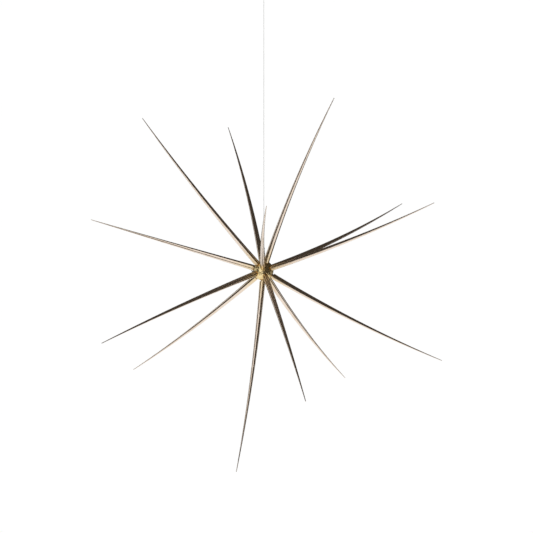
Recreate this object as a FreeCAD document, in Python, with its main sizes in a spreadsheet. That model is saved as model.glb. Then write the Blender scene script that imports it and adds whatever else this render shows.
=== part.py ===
# Hanging brass starburst: fourteen long bent spikes on a small ball, hung on one thin thread.
#
# Frame: millimetres, +Z up. The origin is where the hook bears inside the thread's top loop.
# X and Y are across the star. The thread is the Z axis, and the star hangs from it with its
# centre of mass under the origin.
#
# Spikes: each one leaves the ball along a straight radius, given by its turn (about Z, from +X)
# and its rise (above the level plane). From its foot it bends as one even arc. bend is the
# angle that the arc turns through, and side is the way it bends: 0 is upwards, and a positive
# angle leans it clockwise as seen by someone looking out along the spike.

import FreeCAD
import Part
import Sketcher
import math
import os

Vector = FreeCAD.Vector
FULL_TURN = 360.0
QUARTER_TURN = 90.0

# What the sketcher calls the points of an arc.
ARC_START = 1
ARC_END = 2
ARC_CENTRE = 3

# An expression that is always no length.
NOTHING = "0 * sizes.ball_dia"

doc = FreeCAD.newDocument("starburst")


# ---------------------------------------------------------------------------------------------
# Driving sizes

SIZES = [
    # hub ball
    ("ball_dia", 28.0),
    ("hole_depth", 6.5),        # of each spike's hole, from the round of the ball
    ("balance_x", 0.0),         # from the centre of the ball to the thread line: these two
    ("balance_y", 0.0),         # are set by hang_level, from the weight of the pieces
    # spikes
    ("spike_reach", 280.0),     # centre of the ball to the tip, measured along the spike
    ("foot_gap", 1.2),          # round of the ball to the wide end of the spike
    ("root_dia", 8.0),
    ("tip_dia", 0.9),
    ("shoulder_wall", 0.55),    # of the small step that seats on the ball, round its bore
    # studs that join them
    ("stud_dia", 4.0),
    ("stud_length", 15.0),
    ("stud_chamfer", 0.4),
    ("stud_play", 0.05),        # all round a stud, in both holes
    ("bore_spare", 0.6),        # past the stud's outer end
    # eye screw
    ("eye_wire_dia", 1.4),
    ("eye_inside_dia", 3.6),
    ("eye_neck_dia", 2.0),
    ("eye_neck_length", 1.0),   # collar to the underside of the ring
    ("eye_collar_dia", 4.4),
    ("eye_collar_height", 0.8),
    ("eye_shank_dia", 2.5),
    ("eye_shank_length", 4.5),
    # thread
    ("thread_dia", 1.2),
    ("thread_play", 0.1),       # between the thread and what it goes round
    ("hanging_drop", 382.0),    # hook to the wire of the eye
    ("hook_dia", 5.0),          # the hook that the top loop is made for
    ("top_loop_length", 15.0),  # hook to the knot
    ("end_loop_length", 9.0),   # wire of the eye to the knot
    ("knot_dia", 3.4),
    ("knot_length", 4.2),
    ("knot_gap", 0.05),         # round thread end to the knot it turns against
]

# name, turn, rise, bend, side: all in degrees
SPIKES = [
    ("spike_01", -145.5, 43.5, 5.0, -25),
    ("spike_02", 102.0, 50.0, 7.0, -90),
    ("spike_03", -60.5, 56.0, 7.5, -140),
    ("spike_04", -33.5, 15.0, 7.0, 5),
    ("spike_05", 36.5, 17.0, 8.5, -20),
    ("spike_06", 4.0, -30.5, 8.0, 0),
    ("spike_07", 60.5, -38.0, 7.5, 45),
    ("spike_08", -75.5, -35.0, 2.0, 115),
    ("spike_09", -144.0, -84.0, 6.0, 45),
    ("spike_10", 142.5, -34.5, 6.5, -20),
    ("spike_11", -142.0, -17.5, 4.0, -165),
    ("spike_12", 158.0, 15.0, 0.5, 5),
    ("spike_13", -91.5, 16.0, 5.0, -80),
    ("spike_14", 94.0, -2.5, 5.0, 0),
]

sizes = doc.addObject("Spreadsheet::Sheet", "sizes")


def write_sheet():
    """Put every driving size in the sheet, with its name beside it and as its alias."""
    rows = list(SIZES)
    for name, turn, rise, bend, side in SPIKES:
        rows += [
            (name + "_turn", turn),
            (name + "_rise", rise),
            (name + "_bend", bend),
            (name + "_side", side),
        ]
    for number, (alias, value) in enumerate(rows, start=1):
        sizes.set("A%d" % number, alias)
        sizes.set("B%d" % number, str(value))
        sizes.setAlias("B%d" % number, alias)
    doc.recompute()


def size(alias):
    return float(getattr(sizes, alias))


write_sheet()

# Reaches out from the centre of the ball, and its place, as expressions in the sheet's names.
HOLE_FLOOR = "(sizes.ball_dia / 2 - sizes.hole_depth)"
FOOT = "(sizes.ball_dia / 2 + sizes.foot_gap)"
BORE_DIA = "(sizes.stud_dia + 2 * sizes.stud_play)"
SHOULDER_DIA = "(" + BORE_DIA + " + 2 * sizes.shoulder_wall)"
SEAT_OF_SPIKE = "sqrt((sizes.ball_dia / 2)^2 - (" + SHOULDER_DIA + " / 2)^2)"
SEAT_OF_EYE = (
    "sqrt((sizes.ball_dia / 2)^2"
    " - (sizes.eye_collar_dia / 2 + sqrt(sizes.balance_x^2 + sizes.balance_y^2))^2)"
)
RING_CENTRE = (
    SEAT_OF_EYE + " + sizes.eye_collar_height + sizes.eye_neck_length"
    " + sizes.eye_wire_dia + sizes.eye_inside_dia / 2"
)
RING_RADIUS = "(sizes.eye_inside_dia + sizes.eye_wire_dia) / 2"
BALL_X = "-sizes.balance_x"
BALL_Y = "-sizes.balance_y"
BALL_Z = "-sizes.hanging_drop - " + RING_RADIUS + " - (" + RING_CENTRE + ")"


# ---------------------------------------------------------------------------------------------
# Helpers

def origin_plane(body, role):
    for feature in body.Origin.OriginFeatures:
        if feature.Role == role:
            return feature
    raise ValueError("no plane " + role)


def new_body(name):
    body = doc.addObject("PartDesign::Body", name)
    body.Label = name
    return body


def new_sketch(body, name, role):
    sketch = body.newObject("Sketcher::SketchObject", name)
    sketch.AttachmentSupport = [(origin_plane(body, role), "")]
    sketch.MapMode = "FlatFace"
    return sketch


def closed_outline(sketch, points):
    """Straight-sided outline. Each point is (x, y) as expressions in the sheet's names."""
    count = len(points)
    places = []
    for x_text, y_text in points:
        places.append(Vector(evaluate(x_text), evaluate(y_text), 0))
    for index in range(count):
        line = Part.LineSegment(places[index], places[(index + 1) % count])
        sketch.addGeometry(line, False)
    for index in range(count):
        following = (index + 1) % count
        sketch.addConstraint(Sketcher.Constraint("Coincident", index, 2, following, 1))
    for index, (x_text, y_text) in enumerate(points):
        for kind, text in (("DistanceX", x_text), ("DistanceY", y_text)):
            start = places[index].x if kind == "DistanceX" else places[index].y
            number = sketch.addConstraint(Sketcher.Constraint(kind, -1, 1, index, 1, start))
            sketch.setExpression("Constraints[%d]" % number, text)


def evaluate(text):
    return float(sizes.evalExpression(text.replace("sizes.", "")))


def place_at_ball(thing):
    thing.setExpression("Placement.Base.x", BALL_X)
    thing.setExpression("Placement.Base.y", BALL_Y)
    thing.setExpression("Placement.Base.z", BALL_Z)


def aim_along_spike(thing, spike):
    """Put a body at the centre of the ball and point its X axis along the spike."""
    place_at_ball(thing)
    thing.setExpression("Placement.Rotation.Yaw", "sizes.%s_turn" % spike)
    thing.setExpression("Placement.Rotation.Pitch", "-sizes.%s_rise" % spike)
    thing.setExpression("Placement.Rotation.Roll", "sizes.%s_side" % spike)


def turned_piece(name, points):
    """A body turned about its own X axis from an outline of (along, out) expressions."""
    body = new_body(name)
    outline = new_sketch(body, name + "_outline", "XZ_Plane")
    closed_outline(outline, points)
    turning = body.newObject("PartDesign::Revolution", name + "_turned")
    turning.Profile = outline
    turning.ReferenceAxis = (outline, ["H_Axis"])
    turning.Angle = FULL_TURN
    return body


def round_section(body, name, dia, along):
    """A circle across the body's X axis, at a distance along it."""
    section = new_sketch(body, name, "YZ_Plane")
    section.setExpression("AttachmentOffset.Base.z", along)
    section.addGeometry(Part.Circle(Vector(), Vector(0, 0, 1), evaluate(dia) / 2), False)
    section.addConstraint(Sketcher.Constraint("Coincident", 0, 3, -1, 1))
    number = section.addConstraint(Sketcher.Constraint("Diameter", 0, evaluate(dia)))
    section.setExpression("Constraints[%d]" % number, dia)
    return section


def upright(name, dia, length, low_end):
    """A plain cylinder on a vertical axis above the centre of the ball, tied to the sheet."""
    rod = doc.addObject("Part::Cylinder", name)
    rod.setExpression("Radius", "(%s) / 2" % dia)
    rod.setExpression("Height", length)
    rod.setExpression("Placement.Base.z", "%s + %s" % (BALL_Z, low_end))
    return rod


def fused(name, pieces):
    union = doc.addObject("Part::MultiFuse", name)
    union.Shapes = pieces
    union.Label = name
    return union


def cut_from(name, base, tool):
    cut = doc.addObject("Part::Cut", name)
    cut.Base = base
    cut.Tool = tool
    cut.Label = name
    return cut


# ---------------------------------------------------------------------------------------------
# Spikes: an evenly bent taper, a shoulder that seats on the ball, and a bore for the stud

def make_spike(spike):
    length = "(sizes.spike_reach - " + FOOT + ")"
    bend = "sizes.%s_bend" % spike
    radius = "(%s / (%s * pi / 180))" % (length, bend)
    tip_along = "%s + %s * sin(%s)" % (FOOT, radius, bend)
    tip_out = "%s * (1 - cos(%s))" % (radius, bend)

    body = new_body(spike)

    root = round_section(body, spike + "_root", "sizes.root_dia", FOOT)
    tip = round_section(body, spike + "_tip", "sizes.tip_dia", tip_along)
    tip.setExpression("AttachmentOffset.Base.y", tip_out)
    tip.setExpression("AttachmentOffset.Rotation.Roll", "-" + bend)

    path = new_sketch(body, spike + "_path", "XZ_Plane")
    centre = Vector(evaluate(FOOT), evaluate(radius), 0)
    circle = Part.Circle(centre, Vector(0, 0, 1), evaluate(radius))
    first = -math.pi / 2
    last = first + math.radians(size(spike + "_bend"))
    path.addGeometry(Part.ArcOfCircle(circle, first, last), False)
    ties = [
        ("DistanceX", ARC_CENTRE, FOOT),
        ("DistanceY", ARC_CENTRE, radius),
        ("DistanceX", ARC_START, FOOT),
        ("DistanceY", ARC_START, NOTHING),
        ("DistanceX", ARC_END, tip_along),
    ]
    for kind, point, text in ties:
        tie = Sketcher.Constraint(kind, -1, 1, 0, point, evaluate(text))
        number = path.addConstraint(tie)
        path.setExpression("Constraints[%d]" % number, text)

    taper = body.newObject("PartDesign::AdditivePipe", spike + "_taper")
    taper.Profile = root
    taper.Spine = path
    taper.Transformation = "Multisection"
    taper.Sections = [tip]

    step = round_section(body, spike + "_step", SHOULDER_DIA, SEAT_OF_SPIKE)
    shoulder = body.newObject("PartDesign::Pad", spike + "_shoulder")
    shoulder.Profile = step
    shoulder.setExpression("Length", FOOT + " - " + SEAT_OF_SPIKE)
    doc.recompute()
    before = body.Shape.Volume

    depth = HOLE_FLOOR + " + sizes.stud_length + sizes.bore_spare - " + SEAT_OF_SPIKE
    bore = body.newObject("PartDesign::Pocket", spike + "_bore")
    bore.Profile = round_section(body, spike + "_mouth", BORE_DIA, SEAT_OF_SPIKE)
    bore.Reversed = True
    bore.setExpression("Length", depth)
    doc.recompute()
    removed = before - body.Shape.Volume
    wanted = math.pi * (evaluate(BORE_DIA) / 2) ** 2 * evaluate(depth)
    if abs(removed - wanted) > 0.01 * wanted:
        raise RuntimeError("%s: its bore removed %.2f of %.2f" % (spike, removed, wanted))

    aim_along_spike(body, spike)
    return body


# ---------------------------------------------------------------------------------------------
# Studs: one to each spike, its inner end on the floor of the ball's hole

def make_stud(spike):
    inner = HOLE_FLOOR
    outer = HOLE_FLOOR + " + sizes.stud_length"
    out = "sizes.stud_dia / 2"
    chamfer = "sizes.stud_chamfer"
    points = [
        (inner, NOTHING),
        (outer, NOTHING),
        (outer, out + " - " + chamfer),
        (outer + " - " + chamfer, out),
        (inner + " + " + chamfer, out),
        (inner, out + " - " + chamfer),
    ]
    body = turned_piece(spike.replace("spike", "stud"), points)
    aim_along_spike(body, spike)
    return body


# ---------------------------------------------------------------------------------------------
# Hub ball: a hole and a flat seat for each spike, and the same for the eye screw

def make_step_drill(spike):
    """What one spike takes out of the ball: the stud's hole and the shoulder's flat seat."""
    clear_of_ball = "sizes.ball_dia"
    hole = BORE_DIA + " / 2"
    seat = SHOULDER_DIA + " / 2 + sizes.stud_play"
    points = [
        (HOLE_FLOOR, NOTHING),
        (clear_of_ball, NOTHING),
        (clear_of_ball, seat),
        (SEAT_OF_SPIKE, seat),
        (SEAT_OF_SPIKE, hole),
        (HOLE_FLOOR, hole),
    ]
    drill = turned_piece(spike.replace("spike", "drill"), points)
    aim_along_spike(drill, spike)
    return drill


def make_hub():
    ball = doc.addObject("Part::Sphere", "ball_blank")
    ball.setExpression("Radius", "sizes.ball_dia / 2")
    place_at_ball(ball)
    clear_of_ball = "sizes.ball_dia"
    tools = [make_step_drill(name) for name, turn, rise, bend, side in SPIKES]
    shank_floor = SEAT_OF_EYE + " - sizes.eye_shank_length"
    shank_depth = clear_of_ball + " - (" + shank_floor + ")"
    tools.append(upright("eye_hole", "sizes.eye_shank_dia", shank_depth, shank_floor))
    collar_dia = "sizes.eye_collar_dia + 2 * sizes.stud_play"
    seat_depth = clear_of_ball + " - " + SEAT_OF_EYE
    tools.append(upright("eye_seat", collar_dia, seat_depth, SEAT_OF_EYE))
    return cut_from("hub_ball", ball, fused("ball_cutters", tools))


# ---------------------------------------------------------------------------------------------
# Eye screw: shank in the ball, collar on its seat, neck and an upright ring across Y

def make_eye():
    shank = upright(
        "eye_shank",
        "sizes.eye_shank_dia",
        "sizes.eye_shank_length",
        SEAT_OF_EYE + " - sizes.eye_shank_length",
    )
    collar = upright(
        "eye_collar",
        "sizes.eye_collar_dia",
        "sizes.eye_collar_height",
        SEAT_OF_EYE,
    )
    # The neck runs half-way into the wire of the ring.
    neck = upright(
        "eye_neck",
        "sizes.eye_neck_dia",
        "sizes.eye_neck_length + sizes.eye_wire_dia / 2",
        SEAT_OF_EYE + " + sizes.eye_collar_height",
    )
    ring = doc.addObject("Part::Torus", "eye_ring")
    ring.setExpression("Radius1", RING_RADIUS)
    ring.setExpression("Radius2", "sizes.eye_wire_dia / 2")
    ring.Placement.Rotation = FreeCAD.Rotation(Vector(0, 1, 0), QUARTER_TURN)
    ring.setExpression("Placement.Base.z", BALL_Z + " + " + RING_CENTRE)
    return fused("eye_screw", [shank, collar, neck, ring])


# ---------------------------------------------------------------------------------------------
# Thread: a loop round the eye's wire, a knot, the straight run, a knot and the top loop

def loop_of_thread(bend_radius, length):
    """A drop-shaped loop in the XZ plane: bent round the origin, its two ends at the top."""
    thread_radius = size("thread_dia") / 2
    end = Vector(thread_radius * 1.2, 0, length)
    to_end = math.atan2(end.z, end.x)
    touch = to_end - math.acos(bend_radius / end.Length)
    right = Vector(math.cos(touch), 0, math.sin(touch)) * bend_radius
    bottom = Vector(0, 0, -bend_radius)
    left = Vector(-right.x, 0, right.z)
    other_end = Vector(-end.x, 0, end.z)
    path = Part.Wire([
        Part.LineSegment(end, right).toShape(),
        Part.Arc(right, bottom, left).toShape(),
        Part.LineSegment(left, other_end).toShape(),
    ])
    section = Part.Wire(Part.Circle(end, right - end, thread_radius).toShape())
    return path.makePipeShell([section], True, False)


def make_knot(name, height):
    knot = doc.addObject("Part::Ellipsoid", name)
    knot.Label = name
    knot.setExpression("Radius1", "sizes.knot_length / 2")
    knot.setExpression("Radius2", "sizes.knot_dia / 2")
    knot.setExpression("Radius3", "sizes.knot_dia / 2")
    knot.Angle1 = -QUARTER_TURN
    knot.Angle2 = QUARTER_TURN
    knot.setExpression("Placement.Base.z", height)
    return knot


def make_loop(name, shape, height, rotation, knot):
    """The loop's two ends stop at the surface of its knot."""
    blank = doc.addObject("Part::Feature", name + "_blank")
    blank.Shape = shape
    blank.Placement = FreeCAD.Placement(Vector(0, 0, height), rotation)
    return cut_from(name, blank, knot)


def make_thread(low_knot, high_knot):
    gap = "sizes.knot_length / 2 + sizes.knot_gap + sizes.thread_dia / 2"
    low = "%s + %s" % (low_knot, gap)
    high = "%s - (%s)" % (high_knot, gap)
    run = doc.addObject("Part::Cylinder", "thread_run")
    run.setExpression("Radius", "sizes.thread_dia / 2")
    run.setExpression("Height", "%s - (%s)" % (high, low))
    run.setExpression("Placement.Base.z", low)
    ends = []
    for name, height in (("thread_low_end", low), ("thread_high_end", high)):
        end = doc.addObject("Part::Sphere", name)
        end.setExpression("Radius", "sizes.thread_dia / 2")
        end.setExpression("Placement.Base.z", height)
        ends.append(end)
    return fused("thread", [run] + ends)


# ---------------------------------------------------------------------------------------------
# Build, check and write

def hang_level(star):
    """Move the star sideways until its centre of mass is under the thread."""
    for attempt in range(3):
        doc.recompute()
        whole = sum(piece.Shape.Volume for piece in star)
        centre = Vector()
        for piece in star:
            centre += piece.Shape.Solids[0].CenterOfMass * (piece.Shape.Volume / whole)
        for alias, off in (("balance_x", centre.x), ("balance_y", centre.y)):
            cell = sizes.getCellFromAlias(alias)
            sizes.set(cell, "%.3f" % (size(alias) + off))
        print("centre of mass of the star: %.3f, %.3f, %.3f" % tuple(centre))
    doc.recompute()


star = [make_hub(), make_eye()]
for name, turn, rise, bend, side in SPIKES:
    star.append(make_spike(name))
    star.append(make_stud(name))
hang_level(star)

low_knot_place = "-sizes.hanging_drop + sizes.end_loop_length"
high_knot_place = "-sizes.top_loop_length"
lower_knot = make_knot("lower_knot", low_knot_place)
top_knot = make_knot("top_knot", high_knot_place)
round_eye = (size("eye_wire_dia") + size("thread_dia")) / 2 + size("thread_play")
round_hook = (size("hook_dia") + size("thread_dia")) / 2
lower_loop = make_loop(
    "lower_loop",
    loop_of_thread(round_eye, size("end_loop_length")),
    -size("hanging_drop"),
    FreeCAD.Rotation(),
    lower_knot,
)
top_loop = make_loop(
    "top_loop",
    loop_of_thread(round_hook, size("top_loop_length") - size("hook_dia") / 2),
    -size("hook_dia") / 2,
    FreeCAD.Rotation(Vector(1, 1, 0), 2 * QUARTER_TURN),
    top_knot,
)
thread = make_thread(low_knot_place, high_knot_place)
doc.recompute()

for thing in doc.Objects:
    if "Invalid" in thing.State or "Error" in thing.State:
        raise RuntimeError("%s did not compute: %s" % (thing.Name, thing.State))

parts = star + [lower_knot, lower_loop, thread, top_knot, top_loop]
os.makedirs("parts", exist_ok=True)
for part in parts:
    shape = part.Shape
    if shape.isNull() or not shape.isValid() or len(shape.Solids) != 1:
        raise RuntimeError("%s is not one sound solid" % part.Label)
    shape.exportStep("parts/%s.step" % part.Label)

print("parts written:", len(parts))
print("volume of the star: %.0f mm3" % sum(part.Shape.Volume for part in star))
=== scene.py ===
# %% [markdown]
# A hanging brass starburst: fourteen long spikes, each a little bent, screwed into a ball the
# size of a walnut and hung on one thin thread. The metal pieces arrive finished in shape from the
# CAD model. This script gives them their polish, makes the thread out of real strands, and sets
# up the studio. Lengths are in metres, and the origin is the hook that everything hangs from.

import math

import bmesh
import bpy
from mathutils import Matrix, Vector


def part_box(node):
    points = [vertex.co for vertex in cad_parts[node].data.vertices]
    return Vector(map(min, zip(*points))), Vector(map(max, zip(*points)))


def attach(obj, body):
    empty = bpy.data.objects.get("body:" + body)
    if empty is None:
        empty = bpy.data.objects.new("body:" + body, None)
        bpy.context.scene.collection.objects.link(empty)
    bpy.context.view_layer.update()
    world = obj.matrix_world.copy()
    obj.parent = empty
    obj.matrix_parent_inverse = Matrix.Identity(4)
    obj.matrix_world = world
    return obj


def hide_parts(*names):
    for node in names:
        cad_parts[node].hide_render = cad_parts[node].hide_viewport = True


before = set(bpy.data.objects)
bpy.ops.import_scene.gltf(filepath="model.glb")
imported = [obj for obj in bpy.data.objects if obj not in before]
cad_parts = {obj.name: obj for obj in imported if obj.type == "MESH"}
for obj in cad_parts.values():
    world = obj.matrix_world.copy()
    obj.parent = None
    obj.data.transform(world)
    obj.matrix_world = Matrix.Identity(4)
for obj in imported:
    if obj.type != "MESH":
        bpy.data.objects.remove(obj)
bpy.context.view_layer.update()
spikes = sorted(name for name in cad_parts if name.startswith("spike_"))
studs = sorted(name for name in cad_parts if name.startswith("stud_"))
print("nodes:", len(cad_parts), "of which spikes:", len(spikes))

# %% [markdown]
# The ball's centre is the middle of everything: the camera looks near it, the spikes point away
# from it and their polish runs away from it. The ball has a flat seat under each spike, so its
# box is a hair smaller than the ball, but the middle of the box is still the centre.

# %% Find the ball
def middle(node):
    low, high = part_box(node)
    return (low + high) / 2


ball = middle("hub_ball")
ball_low, ball_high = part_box("hub_ball")
ball_radius = (ball_high - ball_low).x / 2
print("ball centre:", [round(value, 4) for value in ball], "radius:", round(ball_radius, 4))

# %% [markdown]
# The star is seen level, from about two metres, which is far enough that near and far spikes
# look alike. The ball sits a little left of the middle and a little below it, so the camera
# stands that much to the right of the ball and above it. A long lens on a full-size sensor then
# takes in a square a bit wider than the star.

# %% Camera
VIEW_DISTANCE = 2.154
VIEW_WIDTH = 0.7388
STANDS_RIGHT = 0.0043
STANDS_ABOVE = 0.0057
SENSOR_MM = 36.0

camera = bpy.data.objects.new("camera", bpy.data.cameras.new("camera"))
bpy.context.scene.collection.objects.link(camera)
camera.location = ball + Vector((STANDS_RIGHT, -VIEW_DISTANCE, STANDS_ABOVE))
camera.rotation_euler = (math.radians(90), 0, 0)
camera.data.sensor_width = SENSOR_MM
camera.data.lens = SENSOR_MM * VIEW_DISTANCE / VIEW_WIDTH
camera.data.clip_end = 50
bpy.context.scene.camera = camera
print("lens: %.1f mm" % camera.data.lens)

# %% [markdown]
# Polished brass has almost no colour of its own: it shows the room. So the studio is built the
# way silverware is usually lit. All round stands a light tent, white cloth lit from outside,
# which gives an even pale background from every side. Under the star lies a roll of
# pale paper, and soft boxes stand round it: a big one at the front left and three small ones.

# %% Studio
TENT_RADIUS = 4.2
PAPER_DROP = 0.75
PAPER_LEFT = 1.10
PAPER_RIGHT = 0.75
PAPER_FRONT = 0.80
PAPER_BACK = 4.00


def stage_piece(name, mesh):
    data = bpy.data.meshes.new(name)
    mesh.to_mesh(data)
    mesh.free()
    piece = bpy.data.objects.new(name, data)
    bpy.context.scene.collection.objects.link(piece)
    return piece


def light_tent():
    dome = bmesh.new()
    bmesh.ops.create_icosphere(dome, subdivisions=4, radius=TENT_RADIUS)
    for face in dome.faces:
        face.smooth = True
    bmesh.ops.translate(dome, verts=dome.verts, vec=ball)
    return stage_piece("light_tent", dome)


def paper_roll():
    paper = bmesh.new()
    corners = (
        (-PAPER_LEFT, -PAPER_FRONT),
        (PAPER_RIGHT, -PAPER_FRONT),
        (PAPER_RIGHT, PAPER_BACK),
        (-PAPER_LEFT, PAPER_BACK),
    )
    places = [ball + Vector((side, away, -PAPER_DROP)) for side, away in corners]
    paper.faces.new([paper.verts.new(place) for place in places])
    return stage_piece("paper_floor", paper)


tent = light_tent()
floor = paper_roll()
print("paper is %.2f m under the ball" % PAPER_DROP)

# %% [markdown]
# The tent would fill every reflection with white and the star would vanish against it. In a real
# studio its cloth is cut away where the metal would see it. Here the tent is simply kept out of
# reflections, and the metal sees the dim warm room beyond. The soft boxes do show in the metal and
# draw the bright lines along the spikes, but they are hidden from the camera itself.

# %% Lights
SOFT_BOXES = (
    # name, turn and rise from the ball, distance, width, height, brightness
    ("front_left_box", -27, 20, 2.5, 2.8, 3.9, 1.0),
    ("left_back_box", -115, 10, 2.0, 1.2, 0.95, 0.8),
    ("right_box", 112, -12, 2.0, 1.0, 0.6, 0.6),
    ("top_strip", -125, 67, 2.0, 0.5, 0.2, 0.6),
)


def from_ball(turn, rise, away):
    """A place seen from the ball: turn 0 is towards the camera, and positive turns go right."""
    turn = math.radians(turn)
    rise = math.radians(rise)
    level = away * math.cos(rise)
    return ball + Vector((level * math.sin(turn), -level * math.cos(turn), away * math.sin(rise)))


def soft_box(name, place, width, height, brightness):
    lamp = bpy.data.lights.new(name, "AREA")
    lamp.shape = "RECTANGLE"
    lamp.size = width
    lamp.size_y = height
    lamp.energy = brightness * math.pi * width * height
    piece = bpy.data.objects.new(name, lamp)
    bpy.context.scene.collection.objects.link(piece)
    piece.location = place
    piece.rotation_euler = (ball - place).to_track_quat("-Z", "Y").to_euler()
    piece.visible_camera = False
    print(name, "gives %.1f W" % lamp.energy)


for name, turn, rise, away, width, height, brightness in SOFT_BOXES:
    soft_box(name, from_ball(turn, rise, away), width, height, brightness)
tent.visible_glossy = False

world = bpy.data.worlds.new("dim_room")
world.use_nodes = True
room = world.node_tree.nodes["Background"]
room.inputs["Color"].default_value = (1.0, 0.86, 0.72, 1)
room.inputs["Strength"].default_value = 0.055
bpy.context.scene.world = world
bpy.context.scene.view_settings.view_transform = "Standard"

# %% [markdown]
# Materials here are sums over a few noises. Writing the sums as plain Python is easier to read
# than wiring nodes, so a small class wraps a node's output, and adding or multiplying such
# outputs adds the Math nodes that do it. Any other node comes from one method, which is given
# the node's type, its settings and what goes into its sockets.

# %% Shader arithmetic
class Value:
    """An output socket that can be added, multiplied and so on."""

    def __init__(self, recipe, socket):
        self.recipe = recipe
        self.socket = socket

    def math(self, operation, first, second):
        settings = {"operation": operation}
        return self.recipe.node("ShaderNodeMath", settings, {0: first, 1: second})

    def __add__(self, other):
        return self.math("ADD", self, other)

    def __radd__(self, other):
        return self.math("ADD", other, self)

    def __sub__(self, other):
        return self.math("SUBTRACT", self, other)

    def __rsub__(self, other):
        return self.math("SUBTRACT", other, self)

    def __mul__(self, other):
        return self.math("MULTIPLY", self, other)

    def __rmul__(self, other):
        return self.math("MULTIPLY", other, self)


class Recipe:
    """One material. Its shader is a Principled BSDF whose sockets are set by name."""

    def __init__(self, name):
        self.material = bpy.data.materials.new(name)
        self.material.use_nodes = True
        self.tree = self.material.node_tree
        self.shader = self.tree.nodes["Principled BSDF"]

    def node(self, kind, settings, inputs, output=0):
        made = self.tree.nodes.new(kind)
        for setting, value in settings.items():
            if setting == "stops":
                ramp = made.color_ramp
                while len(ramp.elements) < len(value):
                    ramp.elements.new(0.5)
                for element, (place, color) in zip(ramp.elements, value):
                    element.position = place
                    element.color = (*color, 1)
            else:
                setattr(made, setting, value)
        for socket, value in inputs.items():
            self.put(made.inputs[socket], value)
        return Value(self, made.outputs[output])

    def put(self, socket, value):
        if isinstance(value, Value):
            self.tree.links.new(value.socket, socket)
        elif socket.type == "RGBA" and len(value) == 3:
            socket.default_value = (*value, 1)
        else:
            socket.default_value = value

    def finish(self, **sockets):
        for name, value in sockets.items():
            title = name.replace("_", " ").title().replace("Ior", "IOR")
            self.put(self.shader.inputs[title], value)
        return self.material

    def place(self):
        """Where a point of the surface is, in the piece's own frame."""
        return self.node("ShaderNodeTexCoord", {}, {}, "Object")

    def noise(self, vector, scale, detail=3.0, roughness=0.5):
        inputs = {"Vector": vector, "Scale": scale, "Detail": detail, "Roughness": roughness}
        return self.node("ShaderNodeTexNoise", {}, inputs)

    def ramp(self, factor, stops, output=0):
        return self.node("ShaderNodeValToRGB", {"stops": stops}, {0: factor}, output)

    def mix(self, factor, first, second):
        settings = {"data_type": "RGBA"}
        inputs = {0: factor, 6: first, 7: second}
        return self.node("ShaderNodeMix", settings, inputs, 2)

    def vector(self, operation, first, second, output=0):
        settings = {"operation": operation}
        return self.node("ShaderNodeVectorMath", settings, {0: first, 1: second}, output)

    def bump(self, height, distance, strength):
        inputs = {"Height": height, "Distance": distance, "Strength": strength}
        return self.node("ShaderNodeBump", {}, inputs)


def give(names, material):
    for name in names:
        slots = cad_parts[name].data.materials
        slots.clear()
        slots.append(material)


print("shader helpers ready")

# %% [markdown]
# Cloth and paper glow evenly. A whisper of mottling, too faint to see as spots, keeps them from
# looking like plastic.

# %% Tent cloth and paper
MOTTLE_SCALE = 3.0
MOTTLE_STEP = 0.02


def glowing_white(name, level):
    white = Recipe(name)
    mottle = white.noise(white.place(), MOTTLE_SCALE)
    brighter = level + MOTTLE_STEP
    color = white.mix(mottle, (level, level, level), (brighter, brighter, brighter))
    return white.finish(
        base_color=(0.0, 0.0, 0.0),
        roughness=1.0,
        specular_ior_level=0.0,
        emission_color=color,
        emission_strength=1.0,
    )


tent.data.materials.append(glowing_white("tent_cloth", 1.0))
floor.data.materials.append(glowing_white("pale_paper", 1.0))
print("tent and paper glow")

# %% [markdown]
# The spikes are drawn and polished lengthways, so their finest marks run from root to tip. The
# marks are a noise that is squeezed along the spike and stretched across it. To squeeze along a
# spike, its own direction is needed: from the ball to the middle of its box. Over the marks lie
# cloudy patches of thin tarnish, a little redder and duller than the clean metal. The root, where
# a hand holds the spike to screw it in, is duller still, and its colour is pulled towards gold: a
# painted reflection of the gold ball beside it.

# %% Polished spikes
CLEAN_BRASS = (0.83, 0.71, 0.60)
TARNISH = (0.66, 0.50, 0.34)
# Gold for the spike roots: a painted reflection of the gold ball beside them.
PAINTED_BALL_REFLECTION = (0.78, 0.61, 0.33)
GRAIN_ALONG = 40
GRAIN_ACROSS = 1500
CLOUD_SCALE = 34.0
SPECK_SCALE = 900.0
# Distances from the ball's centre: the root effect is full up to the first and gone beyond the
# second. The root is rougher from handling and carries the painted reflection of the ball.
ROOT_ZONE_FULL_TO = 0.016
ROOT_ZONE_END = 0.050
GRAIN_DEPTH = 0.00001


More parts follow.
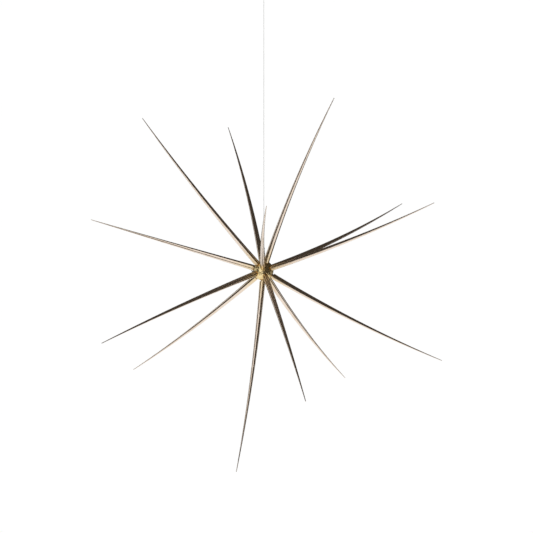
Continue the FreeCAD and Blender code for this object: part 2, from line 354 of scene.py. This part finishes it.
def polished_spike(name, number):
    brass = Recipe("polished_" + name)
    along = (middle(name) - ball).normalized()
    across = along.orthogonal().normalized()
    other = along.cross(across)
    place = brass.vector("SUBTRACT", brass.place(), tuple(ball))
    reach = brass.vector("LENGTH", place, (0, 0, 0), "Value")

    def share(direction, stretch):
        return brass.vector("DOT_PRODUCT", place, tuple(direction * stretch), "Value")

    drawn = {
        "X": share(along, GRAIN_ALONG),
        "Y": share(across, GRAIN_ACROSS),
        "Z": share(other, GRAIN_ACROSS),
    }
    grain_place = brass.node("ShaderNodeCombineXYZ", {}, drawn)
    marks = brass.noise(grain_place, 1.0, 4.0, 0.6)
    clouds = brass.noise(place, CLOUD_SCALE + number, 4.0, 0.55)
    specks = brass.noise(place, SPECK_SCALE, 2.0)
    # Root mask: it makes the root rougher from handling, and it also lays on the painted
    # reflection of the ball.
    root_wear_and_painted_reflection = brass.ramp(reach, [(ROOT_ZONE_FULL_TO, (1, 1, 1)), (ROOT_ZONE_END, (0, 0, 0))])
    dull = brass.ramp(clouds, [(0.45, (0, 0, 0)), (0.72, (1, 1, 1))])
    stain = brass.ramp(specks, [(0.64, (0, 0, 0)), (0.72, (1, 1, 1))])

    metal = brass.mix(dull * 0.45, CLEAN_BRASS, TARNISH)
    metal = brass.mix(stain * 0.25, metal, TARNISH)
    # Painted reflection: the root is tinted gold where the ball would show in it.
    metal = brass.mix(root_wear_and_painted_reflection * 0.7, metal, PAINTED_BALL_REFLECTION)
    roughness = 0.07 + marks * 0.05 + dull * 0.06 + root_wear_and_painted_reflection * 0.08
    return brass.finish(
        base_color=metal,
        metallic=1.0,
        roughness=roughness,
        normal=brass.bump(marks, GRAIN_DEPTH, 0.06),
    )


for number, name in enumerate(spikes):
    give([name], polished_spike(name, number))
print("spikes polished:", len(spikes))

# %% [markdown]
# The ball is yellower than the spikes, as if its lacquer were thicker. A turned ball would carry
# faint level rings from the lathe, and handling would leave it cloudier, so it has both.

# %% Lacquered ball and eye screw
BALL_BRASS = (0.90, 0.72, 0.38)
OLD_LACQUER = (0.62, 0.43, 0.14)
RING_PHASE_PER_METRE = 9000.0
BALL_LUMPS = 420.0
EYE_LUMPS = 500.0
DENT_SHARE = 30.0
RING_SHARE = 0.4
RELIEF_DEPTH = 0.00003


def lacquered_brass(name, rings, lumps):
    brass = Recipe(name)
    place = brass.vector("SUBTRACT", brass.place(), tuple(ball))
    height = brass.node("ShaderNodeSeparateXYZ", {}, {0: place}, "Z")
    wobble = brass.noise(place, 120.0)
    turning = brass.node("ShaderNodeMath", {"operation": "SINE"}, {0: height * rings + wobble})
    clouds = brass.noise(place, 150.0, 4.0, 0.6)
    dents = brass.noise(place, lumps, 1.0)
    dull = brass.ramp(clouds, [(0.42, (0, 0, 0)), (0.70, (1, 1, 1))])
    metal = brass.mix(dull * 0.6, BALL_BRASS, OLD_LACQUER)
    roughness = 0.18 + dull * 0.14 + wobble * 0.06
    relief = dents * DENT_SHARE + turning * RING_SHARE
    return brass.finish(
        base_color=metal,
        metallic=1.0,
        roughness=roughness,
        normal=brass.bump(relief, RELIEF_DEPTH, 0.8),
    )


give(["hub_ball"], lacquered_brass("lacquered_ball", RING_PHASE_PER_METRE, BALL_LUMPS))
give(["eye_screw"], lacquered_brass("lacquered_eye", RING_PHASE_PER_METRE, EYE_LUMPS))
print("ball and eye lacquered")

# %% [markdown]
# The studs hardly show, only as a dark line in the gap at the foot of a spike. They are plain
# steel screws with a thin film of oil.

# %% Oiled steel studs
def oiled_steel():
    steel = Recipe("oiled_steel")
    grime = steel.noise(steel.place(), 600.0, 4.0)
    color = steel.mix(grime, (0.34, 0.33, 0.32), (0.52, 0.51, 0.50))
    return steel.finish(base_color=color, metallic=1.0, roughness=0.25 + grime * 0.2)


give(studs, oiled_steel())
print("studs:", len(studs))

# %% [markdown]
# The thread is pale nylon, laid up from three plies. The star pulls it dead straight, so its
# route is four points in a line, from the lower knot to the top one. A NURBS spline turns the
# points into a smooth line, and the line is read back as a row of places.

# %% Thread route
THREAD_DIAMETER = 0.0012
NEAR_KNOT = 6 * THREAD_DIAMETER
thread_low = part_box("thread")[0].z
thread_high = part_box("thread")[1].z
route_points = [
    (0, 0, thread_low),
    (0, 0, thread_low + NEAR_KNOT),
    (0, 0, thread_high - NEAR_KNOT),
    (0, 0, thread_high),
]


def smooth_line(points):
    curve = bpy.data.curves.new("route", "CURVE")
    curve.dimensions = "3D"
    curve.resolution_u = 24
    spline = curve.splines.new("NURBS")
    spline.points.add(len(points) - 1)
    for point, place in zip(spline.points, points):
        point.co = (*place, 1)
    spline.order_u = 3
    spline.use_endpoint_u = True
    holder = bpy.data.objects.new("route", curve)
    line = bpy.data.meshes.new_from_object(holder)
    places = [vertex.co.copy() for vertex in line.vertices]
    bpy.data.objects.remove(holder)
    return places


def length_of(places):
    return sum((after - before).length for before, after in zip(places, places[1:]))


route = smooth_line(route_points)
print("thread route: %.4f m" % length_of(route))

# %% [markdown]
# Each ply is a thin tube that winds round the route, as in real rope. A tube's rings stand square
# to its line, and each ring is turned as little as possible from the one before, so the tube
# doesn't twist by itself. The same frame carries the plies round a bend.

# %% Laying up plies
PLY_SIDES = 8
PLY_COUNT = 3
TWIST_LENGTH = 0.0052
STEPS_IN_A_TWIST = 12
ply_radius = THREAD_DIAMETER / 2 / (1 + 2 / math.sqrt(3))
winding_radius = THREAD_DIAMETER / 2 - ply_radius


def evenly(places, spacing):
    """Points at equal distances along a row of places."""
    whole = length_of(places)
    steps = max(2, round(whole / spacing))
    row = [places[0].copy()]
    passed = 0.0
    for before, after in zip(places, places[1:]):
        piece = (after - before).length
        while len(row) < steps and piece > 0 and whole * len(row) / steps <= passed + piece:
            row.append(before.lerp(after, (whole * len(row) / steps - passed) / piece))
        passed += piece
    return row + [places[-1].copy()]


def frames(places):
    """For each place, two directions square to the line and to each other."""
    pairs = []
    side = None
    for index in range(len(places)):
        before = places[max(index - 1, 0)]
        after = places[min(index + 1, len(places) - 1)]
        forward = (after - before).normalized()
        if side is None:
            side = forward.orthogonal()
        side = (side - forward * side.dot(forward)).normalized()
        pairs.append((side, forward.cross(side)))
    return pairs


def add_tube(mesh, places, radius):
    rings = []
    for place, (side, up) in zip(places, frames(places)):
        ring = []
        for corner in range(PLY_SIDES):
            angle = 2 * math.pi * corner / PLY_SIDES
            out = side * math.cos(angle) + up * math.sin(angle)
            ring.append(mesh.verts.new(place + out * radius))
        rings.append(ring)
    for first, second in zip(rings, rings[1:]):
        for corner in range(PLY_SIDES):
            following = (corner + 1) % PLY_SIDES
            quad = (first[corner], first[following], second[following], second[corner])
            mesh.faces.new(quad).smooth = True
    mesh.faces.new(list(reversed(rings[0])))
    mesh.faces.new(rings[-1])


def add_plied(mesh, places):
    """Three plies wound round a line."""
    row = evenly(places, TWIST_LENGTH / STEPS_IN_A_TWIST)
    turn = 2 * math.pi * length_of(row) / TWIST_LENGTH / (len(row) - 1)
    pairs = frames(row)
    for ply in range(PLY_COUNT):
        start = 2 * math.pi * ply / PLY_COUNT
        strand = []
        for index, (place, (side, up)) in enumerate(zip(row, pairs)):
            angle = start + turn * index
            out = side * math.cos(angle) + up * math.sin(angle)
            strand.append(place + out * winding_radius)
        add_tube(mesh, strand, ply_radius)


def nylon():
    thread = Recipe("pale_nylon")
    fibres = thread.noise(thread.place(), 5000.0, 2.0)
    color = thread.mix(fibres, (0.52, 0.52, 0.515), (0.70, 0.70, 0.695))
    return thread.finish(
        base_color=color,
        roughness=0.45 + fibres * 0.2,
        normal=thread.bump(fibres, 0.00001, 0.4),
    )


pale_nylon = nylon()


def thread_piece(name, lines, body, stands_for):
    mesh = bmesh.new()
    for line in lines:
        add_plied(mesh, line)
    data = bpy.data.meshes.new(name)
    mesh.to_mesh(data)
    mesh.free()
    data.materials.append(pale_nylon)
    piece = bpy.data.objects.new(name, data)
    bpy.context.scene.collection.objects.link(piece)
    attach(piece, body)
    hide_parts(stands_for)
    print("%s: %d faces" % (name, len(data.polygons)))
    return piece


thread = thread_piece("thread_plies", [route], "line", "thread")

# %% [markdown]
# Each knot is a barrel knot: the thread wraps round itself and is drawn tight. The wraps follow a
# helix that swells in the middle, and one strand runs up through them.

# %% Knots
WRAPS = 4
PLACES_IN_A_WRAP = 16
KNOT_SWELL = 0.22


def barrel_knot(name, body):
    low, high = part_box(name)
    centre = (low + high) / 2
    thick = THREAD_DIAMETER / 2
    out_radius = (high - low).x / 2 - thick
    height = (high - low).z - 2 * thick
    wraps = []
    steps = (WRAPS - 1) * PLACES_IN_A_WRAP
    for step in range(steps + 1):
        share = step / steps
        swell = 1 - KNOT_SWELL + KNOT_SWELL * math.sin(math.pi * share)
        angle = 2 * math.pi * (WRAPS - 1) * share
        out = Vector((math.cos(angle), math.sin(angle), 0)) * out_radius * swell
        wraps.append(centre + out + Vector((0, 0, height * (share - 0.5))))
    bottom = centre - Vector((0, 0, height / 2 + thick))
    top = centre + Vector((0, 0, height / 2 + thick))
    return thread_piece(name + "_wraps", [wraps, [bottom, top]], body, name)


top_knot = barrel_knot("top_knot", "hanger")
lower_knot = barrel_knot("lower_knot", "line_end")

# %% [markdown]
# The lower loop goes round the wire of the eye, and the top loop goes over the hook. Both are
# the same strand, bent round and back into the knot. A smooth line with its points on the corners
# of an octagon drawn round a circle follows that circle, so half such an octagon makes the bend.

# %% Loops
HALF_SIDE = math.tan(math.radians(22.5))
NECK = 0.6 * THREAD_DIAMETER


def loop_line(node, knot, across):
    """From the knot, round the bend at the node's far end, and back to the knot."""
    low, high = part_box(node)
    knot_height = (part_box(knot)[0].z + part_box(knot)[1].z) / 2
    bend = (high - low).dot(across) / 2 - THREAD_DIAMETER / 2
    upwards = 1 if (low.z + high.z) / 2 > knot_height else -1
    far_end = high.z if upwards > 0 else low.z
    bend_height = far_end - upwards * (bend + THREAD_DIAMETER / 2)
    half = [
        (NECK, knot_height),
        (bend, bend_height - upwards * bend * HALF_SIDE),
        (bend, bend_height + upwards * bend * HALF_SIDE),
        (bend * HALF_SIDE, bend_height + upwards * bend),
    ]
    whole = half + [(-side, height) for side, height in reversed(half)]
    return smooth_line([across * side + Vector((0, 0, height)) for side, height in whole])


lower_loop = thread_piece(
    "lower_loop_strand",
    [loop_line("lower_loop", "lower_knot", Vector((1, 0, 0)))],
    "line_end",
    "lower_loop",
)
top_loop = thread_piece(
    "top_loop_strand",
    [loop_line("top_loop", "top_knot", Vector((0, 1, 0)))],
    "hanger",
    "top_loop",
)
